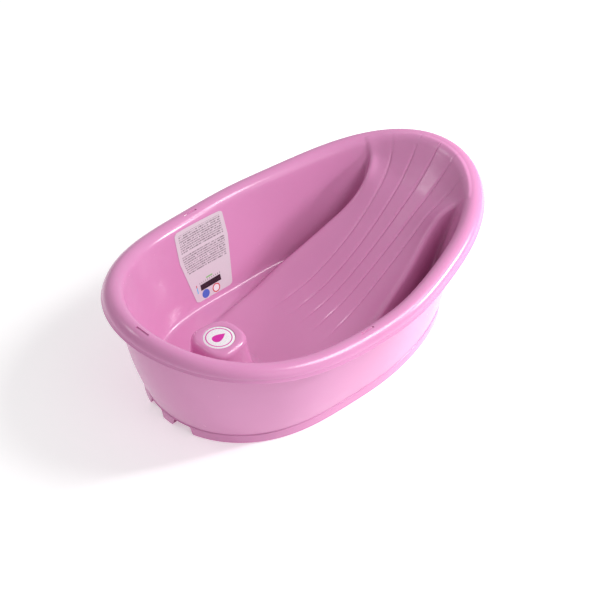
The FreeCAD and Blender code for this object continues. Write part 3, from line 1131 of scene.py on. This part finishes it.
@dataclass
class Badge:
    """Round printed disc in the post, with a plain ring and a drop."""

    centre_x: float = -213.6
    radius: float = 29.0
    low: float = 119.85
    high: float = 121.2
    around: int = 96

    def lathe(self, name: str, section: list[tuple[float, float]], hollow: bool = False) -> bpy.types.Object:
        """Turns a section of radius and height about the badge's axis.

        Args:
            name: object name.
            section: radius and height of each ring.
            hollow: whether the section closes on itself, so that the shape is a ring.

        Returns:
            The closed shape.
        """
        around = self.around
        angles = np.linspace(0, 2 * math.pi, around, endpoint=False)
        points = []
        for radius, height in section:
            x = self.centre_x + radius * np.cos(angles)
            points.append(np.column_stack([x, radius * np.sin(angles), np.full(around, height)]))
        faces = []
        number = len(section)
        for index in range(number if hollow else number - 1):
            faces += ring_faces(index * around, ((index + 1) % number) * around, around)
        if not hollow:
            faces.append(tuple(range(around)))
            last = (number - 1) * around
            faces.append(tuple(range(last, last + around)))
        made = make_object(name, np.concatenate(points), faces)
        face_outwards(made)
        return made

    def ring(self, name: str, inner: float, outer: float, low: float, high: float) -> bpy.types.Object:
        """Flat printed ring.

        Args:
            name: object name.
            inner: inner radius.
            outer: outer radius.
            low: underside height.
            high: top height.

        Returns:
            The closed ring.
        """
        section = [(outer, low), (outer, high), (inner, high), (inner, low)]
        return self.lathe(name, section, hollow=True)

    def drop(self, name: str, size: float, low: float, high: float) -> bpy.types.Object:
        """Flat printed water drop, pointed away from the seat.

        Args:
            name: object name.
            size: radius of its round end.
            low: underside height.
            high: top height.

        Returns:
            The closed drop.
        """
        around = 72
        turn = np.linspace(0, 2 * math.pi, around, endpoint=False)
        along = -size * 1.5 * np.cos(turn)
        side = size * np.sin(turn) * np.sin(turn / 2) ** 1.3
        plan = np.column_stack([self.centre_x - along * 0.75 + 1.0, side * 0.95])
        points = np.concatenate([np.column_stack([plan, np.full(around, height)]) for height in (low, high)])
        faces = ring_faces(0, around, around) + [tuple(range(around)), tuple(range(around, 2 * around))]
        made = make_object(name, points, faces)
        face_outwards(made)
        return made

    def build(self, white: bpy.types.Material, ink: bpy.types.Material) -> list[bpy.types.Object]:
        """Builds the disc and its print.

        Args:
            white: disc material.
            ink: print material.

        Returns:
            The pieces.
        """
        top = self.high
        section = [
            (self.radius - 0.4, self.low),
            (self.radius, self.low + 0.3),
            (self.radius, top - 0.5),
            (self.radius - 0.15, top - 0.2),
            (self.radius - 0.6, top),
            (15.0, top + 0.02),
            (4.0, top + 0.02),
        ]
        disc = self.lathe("badge_disc", section)
        disc.data.materials.append(white)
        sharpen(disc, 40)
        ring = self.ring("badge_ring", 22.6, 24.6, top - 0.1, top + 0.06)
        drop = self.drop("badge_drop", 13.0, top - 0.1, top + 0.08)
        for piece in (ring, drop):
            piece.data.materials.append(ink)
            sharpen(piece, 40)
        return [disc, ring, drop]


# --------------------------------------------------------------------------
# Outer moulding
# --------------------------------------------------------------------------


@dataclass
class OuterBody:
    """Tapered outer wall with its base band, flange and drain arches."""

    around: int = 480
    bottom: float = 1.2
    band: float = 21.3
    step: float = 1.1
    wall: float = 3.0
    top_inset: float = 22.0
    top_drop: float = 21.6
    bulge: float = 4.2
    bulge_head: float = -4.0
    flange: float = 24.0
    flange_thickness: float = 2.5
    arch: tuple[float, float, float, float] = (11.5, 57.0, 18.0, 5.0)
    arch_start: float = -352.0
    arch_run: float = 40.0
    arch_corner: float = 4.5
    arch_clear: float = 6.0
    wall_shares: tuple[float, ...] = (
        0.006, 0.02, 0.05, 0.1, 0.17, 0.25, 0.34, 0.43, 0.52, 0.61, 0.7, 0.79, 0.87, 0.94, 1.0,
    )

    def wall_ring(self, angles: Array, share: float, outset: float) -> Array:
        """Ring of the wall at a share of its height.

        Args:
            angles: ring angles.
            share: 0 at the band, 1 under the rim.
            outset: distance outwards.

        Returns:
            Ring points.
        """
        low = BASE.points(angles)
        high = RIM.points(angles, self.top_inset)
        swell = 4 * share * (1 - share) * (self.bulge + self.bulge_head * np.cos(angles))
        plan = low + share * (high - low)
        plan = plan + swell[:, None] * np.column_stack([np.cos(angles), np.sin(angles)])
        along = np.roll(plan, -1, 0) - np.roll(plan, 1, 0)
        along /= np.hypot(along[:, 0], along[:, 1])[:, None]
        plan = plan + outset * np.column_stack([along[:, 1], -along[:, 0]])
        z = self.band + share * (rim_height(high[:, 0]) - self.top_drop - self.band)
        return np.column_stack([plan, z])

    def flat_ring(self, angles: Array, outset: float, height: float) -> Array:
        """Ring of the base outline at one height."""
        plan = BASE.points(angles, -outset)
        return np.column_stack([plan, np.full(len(angles), height)])

    def top_ring(self, angles: Array, inset: float, rise: float) -> Array:
        """Ring under the rim's crown."""
        plan = RIM.points(angles, inset)
        return np.column_stack([plan, rim_height(RIM.points(angles)[:, 0]) + rise])

    def build(self, plastic: bpy.types.Material) -> bpy.types.Object:
        """Builds the moulding with its arches cut.

        Args:
            plastic: its material.

        Returns:
            The finished piece.
        """
        angles = np.linspace(0, 2 * math.pi, self.around, endpoint=False)
        low = self.bottom
        band = self.band
        edge = [(-3.0, low), (-1.6, low), (-0.7, low + 0.3), (-0.2, low + 0.9), (0.0, low + 1.8)]
        edge += [(0.0, band - 3.4), (0.0, band - 2.2), (-0.25, band - 1.4), (-0.75, band - 0.9)]
        edge += [(-1.25, band - 0.6), (-1.35, band - 0.2)]
        rings = []
        for outset, height in edge:
            rings.append(self.flat_ring(angles, outset, height))
        for share in self.wall_shares:
            rings.append(self.wall_ring(angles, share, -self.step * math.exp(-share * 9)))
        for inset, rise in ((21.6, -8.0), (21.5, -2.0), (24.5, -2.9), (24.7, -8.0)):
            rings.append(self.top_ring(angles, inset, rise))
        for share in (1.0, 0.8, 0.6, 0.4, 0.2, 0.05):
            rings.append(self.wall_ring(angles, share, -self.wall - self.step * math.exp(-share * 9)))
        flange_top = low + self.flange_thickness
        inside = [(self.wall, band - 4.0), (self.wall, flange_top)]
        inside += [(self.flange, flange_top), (self.flange, low)]
        for inset, height in inside:
            rings.append(self.flat_ring(angles, -inset, height))
        faces = []
        number = len(rings)
        for index in range(number):
            faces += ring_faces(index * self.around, ((index + 1) % number) * self.around, self.around)
        body = make_object("outer_body_shell", np.concatenate(rings), faces)
        face_outwards(body)
        cut_away(body, [self.arch_cutter(side) for side in Side])
        body.data.materials.clear()
        body.data.materials.append(plastic)
        sharpen(body, 40)
        return body

    def arch_cutter(self, side: Side) -> bpy.types.Object:
        """Cutter of one drain arch.

        Args:
            side: which side of the centre line.

        Returns:
            A closed prism.
        """
        inner, outer, height, slant = self.arch
        drop = self.arch_clear
        lean = slant / height
        corners = [
            (inner - lean * drop, self.bottom - drop),
            (outer + lean * drop, self.bottom - drop),
            (outer - slant, self.bottom + height),
            (inner + slant, self.bottom + height),
        ]
        frame = ((self.arch_start, 0.0, 0.0), (0.0, side.value, 0.0), (0.0, 0.0, 1.0))
        return rounded_prism("arch_cutter", corners, self.arch_corner, frame, (self.arch_run, 0.0, 0.0))


# --------------------------------------------------------------------------
# Printed film
# --------------------------------------------------------------------------


@dataclass(frozen=True)
class ScaleTicks:
    """Row of small printed ticks over the thermometer strip, repeated by geometry nodes.

    Attributes:
        count: number of ticks.
        pitch: distance between ticks, millimetres.
        size: width, thickness and height of a tick, millimetres.
        start: x and height of the first tick's middle, millimetres.
    """

    count: int = 11
    pitch: float = 5.0
    size: Triple = (0.9, 0.3, 3.0)
    start: tuple[float, float] = (-97.0, 62.6)

    def tree(self) -> bpy.types.NodeTree:
        """Builds the node tree that repeats one tick along a line.

        Returns:
            The tree, with its sizes as named inputs.
        """
        tree = bpy.data.node_groups.new("scale_ticks", "GeometryNodeTree")
        sockets = (
            ("Count", "NodeSocketInt"), ("Pitch", "NodeSocketFloat"),
            ("Tick Size", "NodeSocketVector"), ("Ink", "NodeSocketMaterial"),
        )
        for name, kind in sockets:
            tree.interface.new_socket(name=name, in_out="INPUT", socket_type=kind)
        tree.interface.new_socket(name="Geometry", in_out="OUTPUT", socket_type="NodeSocketGeometry")
        sizes = tree.nodes.new("NodeGroupInput")
        offset = tree.nodes.new("ShaderNodeCombineXYZ")
        line = tree.nodes.new("GeometryNodeMeshLine")
        tick = tree.nodes.new("GeometryNodeMeshCube")
        repeat = tree.nodes.new("GeometryNodeInstanceOnPoints")
        realize = tree.nodes.new("GeometryNodeRealizeInstances")
        dress = tree.nodes.new("GeometryNodeSetMaterial")
        result = tree.nodes.new("NodeGroupOutput")
        links = (
            (sizes, "Pitch", offset, "X"),
            (sizes, "Count", line, "Count"),
            (offset, "Vector", line, "Offset"),
            (sizes, "Tick Size", tick, "Size"),
            (line, "Mesh", repeat, "Points"),
            (tick, "Mesh", repeat, "Instance"),
            (repeat, "Instances", realize, "Geometry"),
            (realize, "Geometry", dress, "Geometry"),
            (sizes, "Ink", dress, "Material"),
            (dress, "Geometry", result, "Geometry"),
        )
        for source, out, target, into in links:
            tree.links.new(source.outputs[out], target.inputs[into])
        return tree

    def build(self, wall: WallPrint, ink: bpy.types.Material, lift: float) -> bpy.types.Object:
        """Makes the ticks and lays them on the wall.

        Args:
            wall: finds the wall's place at a height.
            ink: their material.
            lift: height of their face off the wall.

        Returns:
            The ticks as one plain mesh.
        """
        made = bpy.data.objects.new("scale_ticks", bpy.data.meshes.new("scale_ticks"))
        bpy.context.scene.collection.objects.link(made)
        modifier = made.modifiers.new("ticks", "NODES")
        tree = self.tree()
        modifier.node_group = tree
        values = {"Count": self.count, "Pitch": self.pitch, "Tick Size": self.size, "Ink": ink}
        for socket in tree.interface.items_tree:
            if socket.in_out == "INPUT":
                modifier[socket.identifier] = values[socket.name]
        graph = bpy.context.evaluated_depsgraph_get()
        mesh = bpy.data.meshes.new_from_object(made.evaluated_get(graph))
        made.modifiers.clear()
        made.data = mesh
        local = np.array([vertex.co for vertex in mesh.vertices])
        on_wall = wall.on_wall(self.start[0] + local[:, 0], self.start[1] + local[:, 2], lift)
        on_wall[:, 1] += local[:, 1] + self.size[1] / 2
        mesh.vertices.foreach_set("co", (on_wall * MM).ravel())
        mesh.update()
        return made


@dataclass
class WallPrint:
    """Printed film and marks that follow the +Y wall, placed by x and height.

    Attributes:
        reach: nearest and farthest distance from the centre line that the solver tries.
        halvings: steps of the solver.
        bottom: height of the label's lower edge.
        top: height of the label's upper edge at its foot-side corner.
        fall: how much lower that edge is at the head side.
        corner: corner radius of the label.
    """

    reach: tuple[float, float] = (100.0, 240.0)
    halvings: int = 18
    bottom: float = 26.0
    top: float = 188.0
    fall: float = 10.0
    corner: float = 7.0

    def on_wall(self, x: Array, z: Array, lift: float) -> Array:
        """Points on the +Y wall, lifted off it.

        Args:
            x: positions along the bath.
            z: heights.
            lift: distance off the wall.

        Returns:
            Points.
        """
        shape = x.shape
        flat_x, flat_z = x.ravel(), z.ravel()
        low = np.full(flat_x.shape, self.reach[0])
        high = np.full(flat_x.shape, self.reach[1])
        for _ in range(self.halvings):
            middle = (low + high) / 2
            bowl = Bowl(flat_x, middle)
            inside = bowl.air(flat_z) > 0
            low = np.where(inside, middle, low)
            high = np.where(inside, high, middle)
        y = (low + high) / 2 - lift
        return np.stack([flat_x, y, flat_z], -1).reshape(*shape, 3)

    def patch(self, name: str, x: Array, z: Array, lift: float, thickness: float) -> bpy.types.Object:
        """Closed film over a grid of positions.

        Args:
            name: object name.
            x: grid of positions along the bath.
            z: grid of heights.
            lift: height of its face off the wall.
            thickness: thickness of the film.

        Returns:
            The film with a UV map that runs 0 to 1 each way.
        """
        front = self.on_wall(x, z, lift)
        back = front.copy()
        back[..., 1] += thickness
        rows, columns = x.shape
        number = rows * columns
        faces = []
        for row in range(rows - 1):
            for column in range(columns - 1):
                a = row * columns + column
                quad = (a, a + 1, a + columns + 1, a + columns)
                faces.append(quad)
                faces.append(tuple(number + i for i in quad[::-1]))
        edge = list(range(columns))
        edge += [row * columns + columns - 1 for row in range(1, rows)]
        edge += [(rows - 1) * columns + column for column in range(columns - 2, -1, -1)]
        edge += [row * columns for row in range(rows - 2, 0, -1)]
        for index, a in enumerate(edge):
            b = edge[(index + 1) % len(edge)]
            faces.append((b, a, a + number, b + number))
        made = make_object(name, np.concatenate([front.reshape(-1, 3), back.reshape(-1, 3)]), faces)
        layer = made.data.uv_layers.new(name="film")
        u = np.tile(np.linspace(0, 1, columns), rows)
        v = np.repeat(np.linspace(0, 1, rows), columns)
        for loop in made.data.loops:
            index = loop.vertex_index % number
            layer.data[loop.index].uv = (u[index], v[index])
        sharpen(made, 40)
        return made

    def label(self, lift: float) -> bpy.types.Object:
        """The large film.

        Args:
            lift: height of its face off the wall.

        Returns:
            The film.
        """
        rows, columns = 60, 40
        share = np.linspace(0, 1, rows)[:, None]
        across = np.linspace(0, 1, columns)[None, :]
        left = np.interp(share, [0, 0.62, 1], [-112.0, -133.0, -132.0])
        right = np.interp(share, [0, 0.66, 1], [-24.0, -8.0, -9.0])
        top = self.top - self.fall * across
        z = self.bottom + share * (top - self.bottom)
        radius = self.corner
        from_end = np.minimum(share, 1 - share) * (self.top - self.fall / 2 - self.bottom)
        curve = radius - np.sqrt(np.maximum(radius ** 2 - (radius - from_end) ** 2, 0))
        tuck = np.where(from_end < radius, curve, 0)
        x = (left + tuck) + across * ((right - tuck) - (left + tuck))
        return self.patch("info_label_film", x, z, lift, 0.5)

    def block(
        self, name: str, x: tuple[float, float], z: tuple[float, float], lift: float
    ) -> bpy.types.Object:
        """A rectangular printed block.

        Args:
            name: object name.
            x: its ends along the bath.
            z: its lowest and highest point.
            lift: height of its face off the wall.

        Returns:
            The block.
        """
        grid_x, grid_z = np.meshgrid(np.linspace(*x, 14), np.linspace(*z, 6))
        return self.patch(name, grid_x, grid_z, lift, 0.4)

    def disc(
        self, name: str, x: float, z: float, inner: float, outer: float, lift: float
    ) -> bpy.types.Object:
        """A printed disc or ring.

        Args:
            name: object name.
            x: centre along the bath.
            z: centre height.
            inner: inner radius, 0 for a disc.
            outer: outer radius.
            lift: height of its face off the wall.

        Returns:
            The disc.
        """
        around = 48
        turn = np.linspace(0, 2 * math.pi, around, endpoint=False)
        radii = np.linspace(max(inner, 0.4), outer, 5)
        ring_x = x + radii[:, None] * np.cos(turn)[None]
        ring_z = z + radii[:, None] * np.sin(turn)[None]
        front = self.on_wall(ring_x, ring_z, lift)
        back = front + np.array([0, 0.3, 0])
        rings = [*front, *back[::-1]]
        faces = []
        for index in range(len(rings)):
            if inner == 0 and index in (len(radii) * 2 - 1,):
                continue
            faces += ring_faces(index * around, ((index + 1) % len(rings)) * around, around)
        if inner == 0:
            faces.append(tuple(range(around)))
            last = (len(rings) - 1) * around
            faces.append(tuple(range(last, last + around)))
        made = make_object(name, np.concatenate(rings), faces)
        face_outwards(made)
        sharpen(made, 40)
        return made


# --------------------------------------------------------------------------
# Stage
# --------------------------------------------------------------------------


@dataclass(frozen=True)
class Lamp:
    """A square soft lamp that faces the bath.

    Attributes:
        name: lamp name.
        azimuth: direction it stands in, degrees from the head end towards the label side.
        height: elevation seen from the bath, degrees.
        distance: distance from the bath, metres.
        size: side length, metres.
        power: watts.
    """

    name: str
    azimuth: float
    height: float
    distance: float
    size: float
    power: float

    def build(self) -> None:
        """Adds the lamp to the scene."""
        turn = math.radians(self.azimuth)
        lift = math.radians(self.height)
        away = Vector((math.cos(turn) * math.cos(lift), math.sin(turn) * math.cos(lift), math.sin(lift)))
        data = bpy.data.lights.new(self.name, "AREA")
        data.size = self.size
        data.energy = self.power
        lamp = bpy.data.objects.new(self.name, data)
        lamp.location = away * self.distance + Vector((0.0, 0.0, 0.12))
        lamp.rotation_euler = away.to_track_quat("Z", "Y").to_euler()
        bpy.context.scene.collection.objects.link(lamp)


@dataclass(frozen=True)
class Studio:
    """Pale floor, soft lights and the camera."""

    camera_at: Triple = (-1.5621, -1.5631, 2.0520)
    look: Triple = (0.5254, 0.5289, -0.6665)
    lens: float = 94.83
    daylight: float = 0.44
    floor_glow: float = 0.36
    lamps: tuple[Lamp, ...] = (
        Lamp("key", -38.0, 25.0, 2.6, 0.24, 35.0),
        Lamp("top", -45.0, 50.0, 2.2, 0.70, 24.0),
        Lamp("front", -88.0, 30.0, 2.6, 1.40, 6.0),
        Lamp("back", 125.0, 42.0, 2.4, 0.50, 4.0),
    )

    def floor(self) -> bpy.types.Object:
        """Large pale floor."""
        nodes = Nodes("studio_floor")
        speck = nodes.noise(3.0, 3.0)
        colour = nodes.mix(nodes.span(speck, 0.3, 0.7, 0.0, 1.0), (0.93, 0.93, 0.93), (0.95, 0.95, 0.95))
        nodes.link(colour, 2, nodes.shader, "Base Color")
        nodes.shader.inputs["Roughness"].default_value = 0.8
        nodes.shader.inputs["Specular IOR Level"].default_value = 0.1
        nodes.shader.inputs["Emission Color"].default_value = (1.0, 1.0, 1.0, 1.0)
        nodes.shader.inputs["Emission Strength"].default_value = self.floor_glow
        half = 9000.0
        points = np.array([(-half, -half, 0), (half, -half, 0), (half, half, 0), (-half, half, 0)])
        plane = make_object("studio_floor", points, [(0, 1, 2, 3)], smooth=False)
        plane.data.materials.append(nodes.material)
        return plane

    def build(self) -> None:
        """Builds floor, lights, world and camera."""
        self.floor()
        world = bpy.data.worlds.new("studio_world")
        world.use_nodes = True
        background = world.node_tree.nodes["Background"]
        background.inputs["Color"].default_value = (1.0, 1.0, 1.0, 1.0)
        background.inputs["Strength"].default_value = self.daylight
        scene = bpy.context.scene
        scene.world = world
        scene.view_settings.view_transform = "Standard"
        for lamp in self.lamps:
            lamp.build()
        data = bpy.data.cameras.new("camera")
        data.lens = self.lens
        data.sensor_width = 36.0
        data.clip_end = 50.0
        camera = bpy.data.objects.new("camera", data)
        camera.location = self.camera_at
        camera.rotation_euler = Vector(self.look).to_track_quat("-Z", "Y").to_euler()
        scene.collection.objects.link(camera)
        scene.camera = camera


def put(piece: bpy.types.Object, body: str, node: str | None = None) -> None:
    """Rides a piece on a body, hides the CAD node it stands for and reports it.

    Args:
        piece: the finished piece.
        body: body it moves with.
        node: CAD node it stands for, if any.
    """
    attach(piece, body)
    if node:
        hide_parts(node)
    LOG.info("%s: %d faces on %s", piece.name, len(piece.data.polygons), body)


def dress_nodes(nodes: dict, finishes: dict[str, bpy.types.Material]) -> None:
    """Gives CAD nodes that stay their materials.

    Args:
        nodes: CAD objects by name.
        finishes: material for each node name.
    """
    for name, material in finishes.items():
        for slot in nodes[name].material_slots:
            slot.material = material


def main() -> None:
    """Builds every piece in order."""
    logging.basicConfig(level=logging.INFO, format="%(name)s: %(message)s")
    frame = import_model()
    plastic = GlossPlastic("pink_polypropylene", (0.67, 0.275, 0.497), (0.65, 0.260, 0.478))
    pink = plastic.build()
    put(Basin().build(pink), TUB, "basin")
    put(CrotchPost().build(pink), TUB, "basin")
    put(OuterBody().build(pink), TUB, "outer_body")
    white = PrintedInk("badge_white", (0.8, 0.8, 0.81), 0.22).build()
    magenta = PrintedInk("badge_magenta", (0.62, 0.02, 0.35), 0.25).build()
    for piece in Badge().build(white, magenta):
        put(piece, TUB, "badge")
    film = WallPrint()
    paper = PrintedFilm("label_film", (0.68, 0.60, 0.65), (0.05, 0.042, 0.05)).build()
    label = film.label(0.5)
    label.data.materials.append(paper)
    put(label, TUB, "info_label")
    strip = film.block("thermometer_film", (-97.0, -47.0), (47.0, 59.0), 0.85)
    strip.data.materials.append(PrintedInk("strip_black", (0.022, 0.008, 0.016), 0.18).build())
    put(strip, TUB, "thermometer_strip")
    marks = (
        ("mark_blue", film.disc("mark_blue", -88.0, 36.6, 0.0, 9.0, 0.62), (0.07, 0.13, 0.52)),
        ("mark_red", film.disc("mark_red", -62.0, 36.6, 7.0, 9.0, 0.62), (0.62, 0.02, 0.04)),
        ("mark_white", film.disc("mark_white", -62.0, 36.6, 0.0, 6.9, 0.6), (0.8, 0.78, 0.8)),
        ("scale_cold", film.block("scale_cold", (-106.5, -104.5), (45.0, 57.0), 0.62), (0.05, 0.45, 0.8)),
        ("scale_warm", film.block("scale_warm", (-107.0, -105.0), (57.5, 63.0), 0.62), (0.6, 0.1, 0.16)),
        ("comfort_mark", film.block("comfort_mark", (-80.0, -64.0), (66.0, 69.0), 0.62), (0.25, 0.5, 0.2)),
    )
    for name, piece, colour in marks:
        piece.data.materials.append(PrintedInk(name + "_ink", colour).build())
        put(piece, TUB, "info_label")
    dark = PrintedInk("tick_ink", (0.06, 0.05, 0.06)).build()
    put(ScaleTicks().build(film, dark, 0.62), TUB, "info_label")
    plug = SoftRubber("plug_rubber", (0.72, 0.72, 0.74)).build()
    seal = SoftRubber("seal_rubber", (0.5, 0.5, 0.52)).build()
    feet = SoftRubber("foot_rubber", (0.32, 0.32, 0.34)).build()
    finishes = {"drain_plug": plug, "plug_seal": seal}
    finishes.update({name: feet for name in frame["nodes"] if name.startswith("foot_")})
    dress_nodes(frame["nodes"], finishes)
    Studio().build()


if __name__ == "__main__":
    main()
